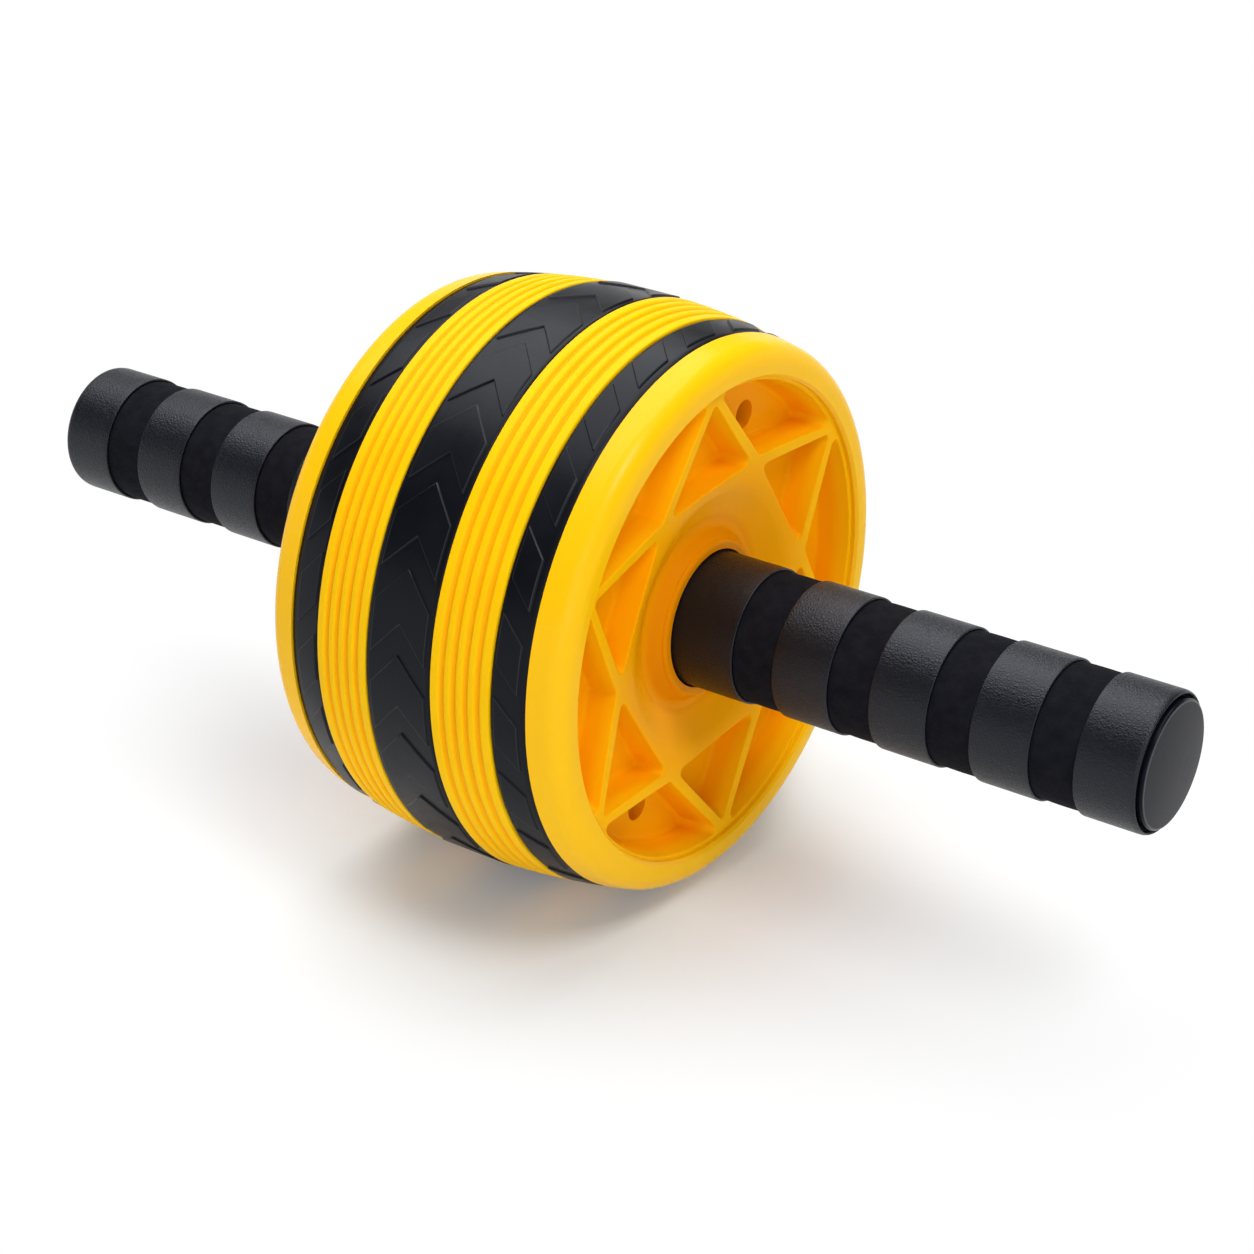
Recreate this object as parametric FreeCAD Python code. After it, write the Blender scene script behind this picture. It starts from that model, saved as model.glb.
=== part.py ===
import FreeCAD, Part
import math
import os

# Ab wheel roller: a wide barrel wheel that spins on a straight axle with a foam grip on each side.
# Millimetres. X runs along the axle towards the right grip, Z is up, the origin is the wheel's centre.

# Barrel of the wheel, across its width
wheel_radius = 82.0
crown_arc_radius = 200.0
centre_tread_width = 21.2
ribbed_band_width = 17.9
outer_tread_width = 10.4
rim_width = 9.6
rim_round = 6.0

# Treads and bands that are bonded round the drum
tread_thickness = 3.2
tread_edge_bevel = 0.5
bond_gap = 0.05
ridge_count = 5
ridge_groove_depth = 0.8

# Raised pads on the treads, with lengths round the wheel
pads_per_turn = 22
pad_height = 0.5
chevron_length = 14.4
chevron_half_width = 8.7
chevron_drop = 9.6
chevron_turn = 7.3
slant_length = 13.4
slant_start = 1.3
slant_width = 6.4
slant_drop = 7.2
slant_turn = 37.6

# Dished face of a wheel half, as depths below the flat of the rim
rim_thickness = 8.0
lip_bevel = 0.8
rib_tip_depth = 2.0
rib_root_depth = 4.5
collar_depth = 5.0
land_depth = 10.5
pocket_depth = 12.0
web_thickness = 3.0
drum_wall = 3.0

# Star of ribs on the dished face
star_points = 6
star_turn = 33.0
star_valley_share = 0.445
rib_half_width = 1.3
tip_setback = 0.5
pocket_rim_ledge = 1.0
pocket_draft_inset = 2.0
pocket_corner_round = 1.6
pocket_floor_round = 1.4
rib_edge_round = 0.4
valley_neck = 0.4
land_margin = 1.5
land_round = 2.0

# Collar that closes the hub round the grip
collar_running_gap = 0.6
collar_lip = 2.6
collar_flare = 3.4
collar_round = 1.2

# Screws that draw the two halves together
screw_radius = 2.0
screw_head_radius = 3.5
screw_head_height = 2.8
screw_socket_radius = 1.5
screw_socket_depth = 1.6
screw_well_radius = 4.0
screw_boss_wall = 2.0
screw_seat = 14.0
screw_reach = 14.5
screw_clearance = 0.2
pilot_end_room = 1.5

# Spigot that lines up the halves at the seam
spigot_length = 3.0
spigot_wall = 2.0
spigot_gap = 0.15

# Axle tube and what it carries inside the hub
axle_radius = 12.5
axle_wall = 2.0
axle_end_bevel = 0.6
slip_fit = 0.05
spacer_wall = 2.4
circlip_thickness = 1.2
circlip_groove_depth = 0.55
circlip_band = 2.6
circlip_gap_angle = 34.0
circlip_lug_radius = 1.7
circlip_lug_hole_radius = 0.9

# Ball bearings
bearing_setback = 22.0
bearing_width = 9.0
inner_race_wall = 2.75
race_opening = 2.9
outer_race_wall = 2.8
race_bevel = 0.4
ball_count = 9
ball_radius = 2.38
race_clearance = 0.25
cage_thickness = 1.3
cage_width = 6.4
cage_play = 0.15
hub_wall = 4.0
bearing_lip = 2.0
bearing_lip_thickness = 1.6

# Grips
grip_radius = 19.0
ring_height = 0.8
ring_bevel = 0.3
last_ring_round = 1.8
last_ring_drop = 0.6
ring_count = 5
raised_width = 16.9
recess_width = 12.5
first_ring_reach = 18.9
sleeve_room = 1.0
ring_setback = 2.0

# End caps
cap_step = 0.7
cap_overlap = 1.0
cap_thickness = 3.0
cap_round = 1.6
cap_shank_length = 14.0
cap_shank_wall = 1.8
tube_setback = 1.0

# One overrun serves every cut, and one tolerance every test of place
overrun = 0.5
same_place = 0.001

ORIGIN = FreeCAD.Vector(0, 0, 0)
AXLE = FreeCAD.Vector(1, 0, 0)
FULL_TURN = 360.0

# Places along the axle, from the mid-plane of the wheel
band_start = centre_tread_width / 2
band_end = band_start + ribbed_band_width
tread_end = band_end + outer_tread_width
rim_face = tread_end + rim_width
collar_face = rim_face - collar_depth
land_face = rim_face - land_depth
pocket_floor = rim_face - pocket_depth
web_back = pocket_floor - web_thickness
rib_tip_face = rim_face - rib_tip_depth
rib_root_face = rim_face - rib_root_depth
bearing_face = bearing_setback + bearing_width
bearing_middle = bearing_setback + bearing_width / 2
bearing_lip_face = bearing_face + bearing_lip_thickness
sleeve_start = bearing_face + circlip_thickness + sleeve_room
first_ring_end = collar_face + first_ring_reach
ring_pitch = raised_width + recess_width
grip_end = first_ring_end + (ring_count - 1) * ring_pitch
sleeve_end = grip_end - cap_overlap
tube_end = sleeve_end - tube_setback
cap_face = sleeve_end + cap_thickness

# Radii that follow from the sizes above
sleeve_radius = grip_radius - ring_height
cap_radius = sleeve_radius - cap_step
axle_bore = axle_radius - axle_wall
inner_race_bore = axle_radius + slip_fit
inner_race_radius = inner_race_bore + inner_race_wall
outer_race_bore = inner_race_radius + race_opening
bearing_radius = outer_race_bore + outer_race_wall
pitch_radius = inner_race_radius + race_opening / 2
groove_radius = ball_radius + race_clearance
hub_bore = bearing_radius + slip_fit
hub_radius = hub_bore + hub_wall
lip_radius = bearing_radius - bearing_lip
collar_bore = grip_radius + collar_running_gap
collar_front_radius = collar_bore + collar_lip
collar_base_radius = collar_front_radius + collar_flare


def crown(offset, depth):
    """Radius of the barrel at an offset from the mid-plane, at a depth below its surface."""
    arc_radius = crown_arc_radius - depth
    return wheel_radius - crown_arc_radius + math.sqrt(arc_radius ** 2 - offset ** 2)


# Radii of the dished face
recess_radius = crown(rim_face, 0) - rim_thickness
pocket_rim_radius = recess_radius - pocket_rim_ledge
star_tip_radius = recess_radius - tip_setback
star_valley_radius = collar_base_radius + star_valley_share * (star_tip_radius - collar_base_radius)
half_point_angle = math.pi / star_points
hub_land_apothem = star_valley_radius * math.cos(half_point_angle) + valley_neck
land_radius = hub_land_apothem - land_margin
screw_circle_radius = (star_valley_radius + pocket_rim_radius) / 2
screw_boss_radius = screw_well_radius + screw_boss_wall


def section_vector(point):
    """Section point (offset along the axle, radius) as a vector."""
    return FreeCAD.Vector(point[0], point[1], 0)


def line(start, end):
    return Part.LineSegment(section_vector(start), section_vector(end)).toShape()


def arc(start, middle, end):
    return Part.Arc(section_vector(start), section_vector(middle), section_vector(end)).toShape()


def chain(points):
    return [line(start, end) for start, end in zip(points, points[1:])]


def toward(start, end, reach):
    """Point at a reach from one section point on the way to another."""
    share = reach / math.hypot(end[0] - start[0], end[1] - start[1])
    return (start[0] + share * (end[0] - start[0]), start[1] + share * (end[1] - start[1]))


def rounded_chain(points, reach):
    """Lines through section points, with each inner corner rounded off over a reach along both its lines."""
    edges = []
    last = points[0]
    for before, corner, after in zip(points, points[1:], points[2:]):
        start = toward(corner, before, reach)
        end = toward(corner, after, reach)
        chord_middle = ((start[0] + end[0]) / 2, (start[1] + end[1]) / 2)
        half_chord = math.hypot(end[0] - start[0], end[1] - start[1]) / 2
        height = math.sqrt(reach ** 2 - half_chord ** 2)
        bulge = half_chord * (reach - half_chord) / height
        edges += [line(last, start), arc(start, toward(chord_middle, corner, bulge), end)]
        last = end
    return edges + [line(last, points[-1])]


def on_crown(offset, depth):
    return (offset, crown(offset, depth))


def crown_arc(start, end, depth):
    middle = (start + end) / 2
    return arc(on_crown(start, depth), on_crown(middle, depth), on_crown(end, depth))


def turned(edges):
    """Solid of revolution about the axle from a closed chain of section edges."""
    solid = Part.Face(Part.Wire(edges)).revolve(ORIGIN, AXLE, FULL_TURN)
    if solid.Volume < 0:
        solid.reverse()
    return solid


def turned_polygon(points):
    return turned(chain(points + points[:1]))


def mirrored(shape):
    return shape.mirror(ORIGIN, AXLE)


def around(offset, radius, angle):
    """Point at an offset along the axle, a radius and an angle from +Y towards +Z."""
    return FreeCAD.Vector(offset, radius * math.cos(angle), radius * math.sin(angle))


def peg(start, end, radius, place_radius, angle):
    """Cylinder along the axle direction between two offsets, at a place round the axle."""
    return Part.makeCylinder(radius, end - start, around(start, place_radius, angle), AXLE)


def tip_angles():
    first = math.radians(star_turn)
    return [first + 2 * half_point_angle * count for count in range(star_points)]


def valley_angles():
    return [angle + half_point_angle for angle in tip_angles()]


# Treads and bands

def padded_tread(base_edges, pad_edges, outline, turn):
    """Ring with raised pads: one pad is cut from a thin ring by its outline and repeated round the wheel."""
    foot = crown(tread_end, tread_thickness)
    corners = [FreeCAD.Vector(offset, -foot, rise) for offset, rise in outline]
    reach = FreeCAD.Vector(0, foot - wheel_radius - overrun, 0)
    prism = Part.Face(Part.makePolygon(corners + corners[:1])).extrude(reach)
    pad = turned(pad_edges).common(prism)
    pitch = FULL_TURN / pads_per_turn
    pads = [pad.rotated(ORIGIN, AXLE, -turn - count * pitch) for count in range(pads_per_turn)]
    return turned(base_edges).multiFuse(pads)


def centre_tread():
    """Centre tread with chevron pads, flat across its width so that the wheel stands steady."""
    base = tread_thickness - bond_gap
    side = pad_height + tread_edge_bevel
    low = wheel_radius - pad_height
    root = low - overrun
    top_end = band_start - tread_edge_bevel
    edges = chain([
        on_crown(-band_start, base),
        on_crown(-band_start, side),
        (-top_end, low),
        (top_end, low),
        on_crown(band_start, side),
        on_crown(band_start, base),
    ])
    edges += [crown_arc(band_start, -band_start, base)]
    pad_edges = chain([
        (-top_end, root),
        (-top_end, wheel_radius),
        (top_end, wheel_radius),
        (top_end, root),
        (-top_end, root),
    ])
    half = chevron_half_width
    outline = [
        (0, 0),
        (half, -chevron_drop),
        (half, -chevron_drop - chevron_length),
        (0, -chevron_length),
        (-half, -chevron_drop - chevron_length),
        (-half, -chevron_drop),
    ]
    return padded_tread(edges, pad_edges, outline, chevron_turn)


def outer_tread():
    """Outer tread with slanted pads between low margins, bevelled edges and a bonded inner face."""
    base = tread_thickness - bond_gap
    side = pad_height + tread_edge_bevel
    top_start = band_end + tread_edge_bevel
    top_end = tread_end - tread_edge_bevel
    edges = chain([on_crown(band_end, base), on_crown(band_end, side), on_crown(top_start, pad_height)])
    edges += [crown_arc(top_start, top_end, pad_height)]
    edges += chain([on_crown(top_end, pad_height), on_crown(tread_end, side), on_crown(tread_end, base)])
    edges += [crown_arc(tread_end, band_end, base)]
    root = pad_height + overrun
    pad_edges = [line(on_crown(top_start, root), on_crown(top_start, 0))]
    pad_edges += [crown_arc(top_start, top_end, 0)]
    pad_edges += [line(on_crown(top_end, 0), on_crown(top_end, root))]
    pad_edges += [crown_arc(top_end, top_start, root)]
    near = band_end + slant_start
    far = near + slant_width
    outline = [
        (near, 0),
        (far, -slant_drop),
        (far, -slant_drop - slant_length),
        (near, -slant_length),
    ]
    return padded_tread(edges, pad_edges, outline, slant_turn)


def ribbed_band():
    """Soft band of rounded ribs that run round the wheel, flat from the outer ribs' middles to its edges."""
    base = tread_thickness - bond_gap
    half = ribbed_band_width / ridge_count / 2
    rib_radius = (half ** 2 + ridge_groove_depth ** 2) / (2 * ridge_groove_depth)
    quarter_depth = rib_radius - math.sqrt(rib_radius ** 2 - half ** 2 / 4)
    first = band_start + half
    last = band_end - half
    edges = [line(on_crown(band_start, base), on_crown(band_start, 0)), crown_arc(band_start, first, 0)]
    edges += [arc(on_crown(first, 0), on_crown(first + half / 2, quarter_depth),
                  on_crown(first + half, ridge_groove_depth))]
    for count in range(1, ridge_count - 1):
        middle = first + 2 * half * count
        edges += [arc(on_crown(middle - half, ridge_groove_depth), on_crown(middle, 0),
                      on_crown(middle + half, ridge_groove_depth))]
    edges += [arc(on_crown(last - half, ridge_groove_depth), on_crown(last - half / 2, quarter_depth),
                  on_crown(last, 0))]
    edges += [crown_arc(last, band_end, 0), line(on_crown(band_end, 0), on_crown(band_end, base))]
    return turned(edges + [crown_arc(band_end, band_start, base)])


# Wheel halves

def rim_edges():
    """Barrel of the rim, its rounded corner and the flat down to the lip."""
    slope = math.asin((rim_face - rim_round) / crown_arc_radius)
    start = rim_face - rim_round * (1 - math.sin(slope))
    centre_radius = crown(start, 0) - rim_round * math.cos(slope)
    centre_offset = rim_face - rim_round
    middle_angle = (slope + math.pi / 2) / 2
    middle_offset = centre_offset + rim_round * math.sin(middle_angle)
    middle_radius = centre_radius + rim_round * math.cos(middle_angle)
    corner_end = (rim_face, centre_radius)
    edges = [crown_arc(tread_end, start, 0)]
    edges += [arc(on_crown(start, 0), (middle_offset, middle_radius), corner_end)]
    edges += chain([corner_end, (rim_face, recess_radius + lip_bevel)])
    return edges


def dish_edges():
    """Lip, cone of the rib tops, sloping land and collar, from the rim to the collar's bore."""
    round_start = collar_face - collar_round
    round_end = collar_front_radius - collar_round
    round_share = math.sqrt(1 / 2)
    round_middle = (round_start + collar_round * round_share, round_end + collar_round * round_share)
    edges = chain([
        (rim_face, recess_radius + lip_bevel),
        (rim_face - lip_bevel, recess_radius),
        (rib_tip_face, recess_radius),
    ])
    edges += rounded_chain([
        (rib_tip_face, recess_radius),
        (rib_root_face, land_radius),
        (land_face, collar_base_radius),
        (round_start, collar_front_radius),
    ], land_round)
    edges += [arc((round_start, collar_front_radius), round_middle, (collar_face, round_end))]
    edges += [line((collar_face, round_end), (collar_face, collar_bore))]
    return edges


def hub_edges():
    """Collar bore, bearing lip and seat, and the back of the hub and web."""
    return chain([
        (collar_face, collar_bore),
        (bearing_lip_face, collar_bore),
        (bearing_lip_face, lip_radius),
        (bearing_face, lip_radius),
        (bearing_face, hub_bore),
        (0, hub_bore),
        (0, hub_radius),
        (web_back, hub_radius),
        on_crown(web_back, tread_thickness + drum_wall),
    ])


def plain_seam():
    inner = tread_thickness + drum_wall
    return [crown_arc(web_back, 0, inner), line(on_crown(0, inner), on_crown(0, tread_thickness))]


def spigot_seam():
    """Seam with a spigot that enters the other half."""
    inner = tread_thickness + drum_wall
    outside = crown(spigot_length, inner) - spigot_gap
    inside = outside - spigot_wall
    points = [
        on_crown(spigot_length, inner),
        (spigot_length, inside),
        (-spigot_length, inside),
        (-spigot_length, outside),
        (0, outside),
        on_crown(0, tread_thickness),
    ]
    return [crown_arc(web_back, spigot_length, inner)] + chain(points)


def half_shell(seam_edges):
    """Turned body of the right half: drum seat, rim, dished face and hub, before ribs are cut."""
    edges = [crown_arc(0, tread_end, tread_thickness)]
    edges += [line(on_crown(tread_end, tread_thickness), on_crown(tread_end, 0))]
    edges += rim_edges() + dish_edges() + hub_edges() + seam_edges
    return turned(edges)


def face_vector(offset, point, angle):
    """Point (outwards, sideways) of a face outline, turned to its angle round the axle."""
    outwards, sideways = point
    across = outwards * math.cos(angle) - sideways * math.sin(angle)
    up = outwards * math.sin(angle) + sideways * math.cos(angle)
    return FreeCAD.Vector(offset, across, up)


def rib_line(shift):
    """Side of a rib from a valley on the outwards axis to a tip, shifted off the rib's middle."""
    valley = (star_valley_radius, 0)
    tip = (star_tip_radius * math.cos(half_point_angle), star_tip_radius * math.sin(half_point_angle))
    length = math.hypot(tip[0] - valley[0], tip[1] - valley[1])
    along = ((tip[0] - valley[0]) / length, (tip[1] - valley[1]) / length)
    start = (valley[0] + shift * along[1], valley[1] - shift * along[0])
    return start, along


def outer_pocket_wire(offset, inset, angle):
    """Outline of a pocket between two star tips: two ribs and an arc along the rim."""
    start, along = rib_line(rib_half_width + inset)
    rim = pocket_rim_radius - inset
    inner = (start[0] - start[1] * along[0] / along[1], 0)
    dot = start[0] * along[0] + start[1] * along[1]
    reach = -dot + math.sqrt(dot ** 2 - start[0] ** 2 - start[1] ** 2 + rim ** 2)
    corner = (start[0] + reach * along[0], start[1] + reach * along[1])
    twin = (corner[0], -corner[1])
    corners = [face_vector(offset, point, angle) for point in (inner, corner, (rim, 0), twin)]
    return Part.Wire([
        Part.LineSegment(corners[0], corners[1]).toShape(),
        Part.Arc(corners[1], corners[2], corners[3]).toShape(),
        Part.LineSegment(corners[3], corners[0]).toShape(),
    ])


def tip_pocket_wire(offset, inset, angle):
    """Outline of the three-sided pocket inside a star tip."""
    tip = star_tip_radius
    valley_out = star_valley_radius * math.cos(half_point_angle)
    valley_side = star_valley_radius * math.sin(half_point_angle)
    half_tip_angle = math.atan2(valley_side, tip - valley_out)
    apex = tip - (rib_half_width + inset) / math.sin(half_tip_angle)
    base = hub_land_apothem + inset
    side = (apex - base) * math.tan(half_tip_angle)
    points = [(apex, 0), (base, side), (base, -side), (apex, 0)]
    return Part.makePolygon([face_vector(offset, point, angle) for point in points])


def pocket(outline, angle):
    """Drafted pocket from its floor to just above the rib tops, with rounded corners and floor."""
    top = rib_tip_face + overrun
    top_inset = -pocket_draft_inset * overrun / (rib_tip_face - pocket_floor)
    wires = [outline(pocket_floor, pocket_draft_inset, angle), outline(top, top_inset, angle)]
    block = Part.makeLoft(wires, True, True)
    middle = (top + pocket_floor) / 2
    lean = [edge for edge in block.Edges if edge.BoundBox.XMin < middle < edge.BoundBox.XMax]
    block = block.makeFillet(pocket_corner_round, lean)
    floor = [edge for edge in block.Edges if edge.BoundBox.XMax < middle]
    return block.makeFillet(pocket_floor_round, floor)


def pockets():
    cuts = [pocket(outer_pocket_wire, angle) for angle in valley_angles()]
    cuts += [pocket(tip_pocket_wire, angle) for angle in tip_angles()]
    return cuts


def screw_bosses():
    back = web_back + overrun
    return [peg(0, back, screw_boss_radius, screw_circle_radius, angle) for angle in valley_angles()]


def on_rib_tops(point):
    """Whether a point lies on the cone of the rib tops, inside its two circles and off its seam."""
    radius = math.hypot(point.y, point.z)
    slope = (rib_tip_face - rib_root_face) / (recess_radius - land_radius)
    height = rib_root_face + slope * (radius - land_radius)
    inside = land_radius + same_place < radius < recess_radius - same_place
    off_seam = abs(point.z) > same_place or point.y < 0
    return inside and off_seam and abs(point.x - height) < same_place


def ribbed_shell(seam_edges):
    """Half shell with its bosses and pockets, and the ribs' edges rounded off."""
    shell = half_shell(seam_edges).multiFuse(screw_bosses()).cut(pockets())
    rib_edges = []
    for edge in shell.Edges:
        middle = edge.valueAt((edge.FirstParameter + edge.LastParameter) / 2)
        if on_rib_tops(middle):
            rib_edges.append(edge)
    return shell.makeFillet(rib_edge_round, rib_edges)


def wheel_half_right():
    shell = ribbed_shell(spigot_seam())
    holes = []
    for angle in valley_angles():
        holes.append(peg(screw_seat, rim_face, screw_well_radius, screw_circle_radius, angle))
        clearance = screw_radius + screw_clearance
        holes.append(peg(-overrun, screw_seat + overrun, clearance, screw_circle_radius, angle))
    return shell.cut(holes)


def wheel_half_left():
    shell = ribbed_shell(plain_seam())
    pilot = screw_reach + pilot_end_room
    radius = screw_radius + slip_fit
    holes = [peg(-overrun, pilot, radius, screw_circle_radius, angle) for angle in valley_angles()]
    return mirrored(shell.cut(holes))


def shell_screws():
    """Six screws with socket heads, seated in the wells of the right half."""
    screws = []
    head_top = screw_seat + screw_head_height
    socket_floor = head_top - screw_socket_depth
    for angle in valley_angles():
        shank = peg(-screw_reach, screw_seat, screw_radius, screw_circle_radius, angle)
        head = peg(screw_seat, head_top, screw_head_radius, screw_circle_radius, angle)
        socket = peg(socket_floor, head_top + overrun, screw_socket_radius, screw_circle_radius, angle)
        screws.append(shank.fuse(head).cut(socket))
    return Part.makeCompound(screws)


# Axle and bearings

def axle_tube():
    """Tube right through the wheel, with a groove for each circlip."""
    groove_floor = axle_radius - circlip_groove_depth
    groove_end = bearing_face + circlip_thickness
    bevel_start = tube_end - axle_end_bevel
    right = [
        (bearing_face, axle_radius),
        (bearing_face, groove_floor),
        (groove_end, groove_floor),
        (groove_end, axle_radius),
        (bevel_start, axle_radius),
        (tube_end, axle_radius - axle_end_bevel),
        (tube_end, axle_bore),
    ]
    left = [(-offset, radius) for offset, radius in reversed(right)]
    return turned_polygon(left + right)


def bearing_spacer():
    inside = axle_radius + slip_fit
    outside = inside + spacer_wall
    half = bearing_setback
    return turned_polygon([(-half, inside), (-half, outside), (half, outside), (half, inside)])


def race_groove(shoulder, side):
    """Arc of a ball groove where it meets a race's shoulder; side is -1 towards the axle, 1 away."""
    half_chord = math.sqrt(groove_radius ** 2 - (pitch_radius - shoulder) ** 2)
    start = (bearing_middle - half_chord, shoulder)
    middle = (bearing_middle, pitch_radius + side * groove_radius)
    end = (bearing_middle + half_chord, shoulder)
    return start, middle, end


def inner_race():
    start, middle, end = race_groove(inner_race_radius, -1)
    edges = chain([
        end,
        (bearing_face, inner_race_radius),
        (bearing_face, inner_race_bore + race_bevel),
        (bearing_face - race_bevel, inner_race_bore),
        (bearing_setback + race_bevel, inner_race_bore),
        (bearing_setback, inner_race_bore + race_bevel),
        (bearing_setback, inner_race_radius),
        start,
    ])
    return turned(edges + [arc(start, middle, end)])


def outer_race():
    start, middle, end = race_groove(outer_race_bore, 1)
    edges = chain([
        end,
        (bearing_face, outer_race_bore),
        (bearing_face, bearing_radius - race_bevel),
        (bearing_face - race_bevel, bearing_radius),
        (bearing_setback + race_bevel, bearing_radius),
        (bearing_setback, bearing_radius - race_bevel),
        (bearing_setback, outer_race_bore),
        start,
    ])
    return turned(edges + [arc(start, middle, end)])


def ball_angles():
    return [math.pi * (2 * count + 1) / ball_count for count in range(ball_count)]


def bearing_balls():
    places = [around(bearing_middle, pitch_radius, angle) for angle in ball_angles()]
    return Part.makeCompound([Part.makeSphere(ball_radius, place) for place in places])


def ball_cage():
    """Ring between the races with a round pocket for each ball."""
    inside = pitch_radius - cage_thickness / 2
    outside = pitch_radius + cage_thickness / 2
    start = bearing_middle - cage_width / 2
    end = bearing_middle + cage_width / 2
    ring = turned_polygon([(start, inside), (start, outside), (end, outside), (end, inside)])
    pocket_start = inside - overrun
    pocket_length = cage_thickness + 2 * overrun
    pockets_cut = []
    for angle in ball_angles():
        foot = around(bearing_middle, pocket_start, angle)
        outwards = around(0, 1, angle)
        pockets_cut.append(Part.makeCylinder(ball_radius + cage_play, pocket_length, foot, outwards))
    return ring.cut(pockets_cut)


def circlip():
    """Open retaining ring in the axle's groove, with a holed lug on each side of its gap."""
    start = bearing_face
    end = bearing_face + circlip_thickness
    inside = axle_radius - circlip_groove_depth + slip_fit
    outside = inside + circlip_band
    band = turned_polygon([(start, inside), (start, outside), (end, outside), (end, inside)])
    half_gap = math.radians(circlip_gap_angle) / 2
    lug_place = outside - circlip_lug_hole_radius
    lug_angles = [half_gap + circlip_lug_radius / lug_place, -half_gap - circlip_lug_radius / lug_place]
    lugs = [peg(start, end, circlip_lug_radius, lug_place, angle) for angle in lug_angles]
    cut_start = start - overrun
    cut_end = end + overrun
    gap_reach = (outside + circlip_lug_radius) / math.cos(half_gap)
    gap_points = [around(cut_start, 0, 0)]
    gap_points += [around(cut_start, gap_reach, angle) for angle in (half_gap, -half_gap)]
    gap_face = Part.Face(Part.makePolygon(gap_points + gap_points[:1]))
    gap = gap_face.extrude(AXLE * (cut_end - cut_start))
    core = peg(cut_start, cut_end, inside, 0, 0)
    holes = [peg(cut_start, cut_end, circlip_lug_hole_radius, lug_place, angle) for angle in lug_angles]
    return band.multiFuse(lugs).cut([gap, core] + holes)


# Grips and end caps

def grip_sleeve():
    inside = axle_radius + slip_fit
    return turned_polygon([
        (sleeve_start, inside),
        (sleeve_start, sleeve_radius),
        (sleeve_end, sleeve_radius),
        (sleeve_end, inside),
    ])


def grip_ring(count):
    """Raised ring round the sleeve; the first runs on into the collar and the last is rounded at its end."""
    end = first_ring_end + count * ring_pitch
    start = end - raised_width
    if count == 0:
        start = sleeve_start + ring_setback
    inside = sleeve_radius + bond_gap
    near_edge = [(start, grip_radius - ring_bevel), (start + ring_bevel, grip_radius)]
    near_side = [(end, inside), (start, inside)] + near_edge
    if count < ring_count - 1:
        return turned_polygon(near_side + [(end - ring_bevel, grip_radius), (end, grip_radius - ring_bevel)])
    round_start = (end - last_ring_round, grip_radius)
    round_end = (end, grip_radius - last_ring_drop)
    round_middle = (end - last_ring_round / 2, grip_radius - last_ring_drop / 4)
    edges = chain(near_side + [round_start])
    edges += [arc(round_start, round_middle, round_end), line(round_end, near_side[0])]
    return turned(edges)


def end_cap():
    """Plug with a hollow shank in the tube and a round-edged head against the sleeve."""
    shank = axle_bore - slip_fit
    hollow = shank - cap_shank_wall
    shank_end = tube_end - cap_shank_length
    round_start = cap_face - cap_round
    round_end = cap_radius - cap_round
    round_share = math.sqrt(1 / 2)
    round_middle = (round_start + cap_round * round_share, round_end + cap_round * round_share)
    edges = chain([
        (cap_face, round_end),
        (cap_face, 0),
        (sleeve_end, 0),
        (sleeve_end, hollow),
        (shank_end, hollow),
        (shank_end, shank),
        (sleeve_end, shank),
        (sleeve_end, cap_radius),
        (round_start, cap_radius),
    ])
    return turned(edges + [arc((round_start, cap_radius), round_middle, (cap_face, round_end))])


def all_parts():
    parts = {
        "wheel_half_right": wheel_half_right(),
        "wheel_half_left": wheel_half_left(),
        "centre_tread": centre_tread(),
        "shell_screws": shell_screws(),
        "axle_tube": axle_tube(),
        "bearing_spacer": bearing_spacer(),
    }
    paired = {
        "ribbed_band": ribbed_band(),
        "outer_tread": outer_tread(),
        "inner_race": inner_race(),
        "outer_race": outer_race(),
        "bearing_balls": bearing_balls(),
        "ball_cage": ball_cage(),
        "circlip": circlip(),
        "grip_sleeve": grip_sleeve(),
        "end_cap": end_cap(),
    }
    for name, shape in paired.items():
        parts[name + "_right"] = shape
        parts[name + "_left"] = mirrored(shape)
    for count in range(ring_count):
        ring = grip_ring(count)
        parts["grip_ring_right_" + str(count + 1)] = ring
        parts["grip_ring_left_" + str(count + 1)] = mirrored(ring)
    return parts


os.makedirs("parts", exist_ok=True)
for node, shape in all_parts().items():
    shape.exportStep("parts/" + node + ".step")
    print(node, len(shape.Solids), round(shape.Volume), shape.isValid())
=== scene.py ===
import math

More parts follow.
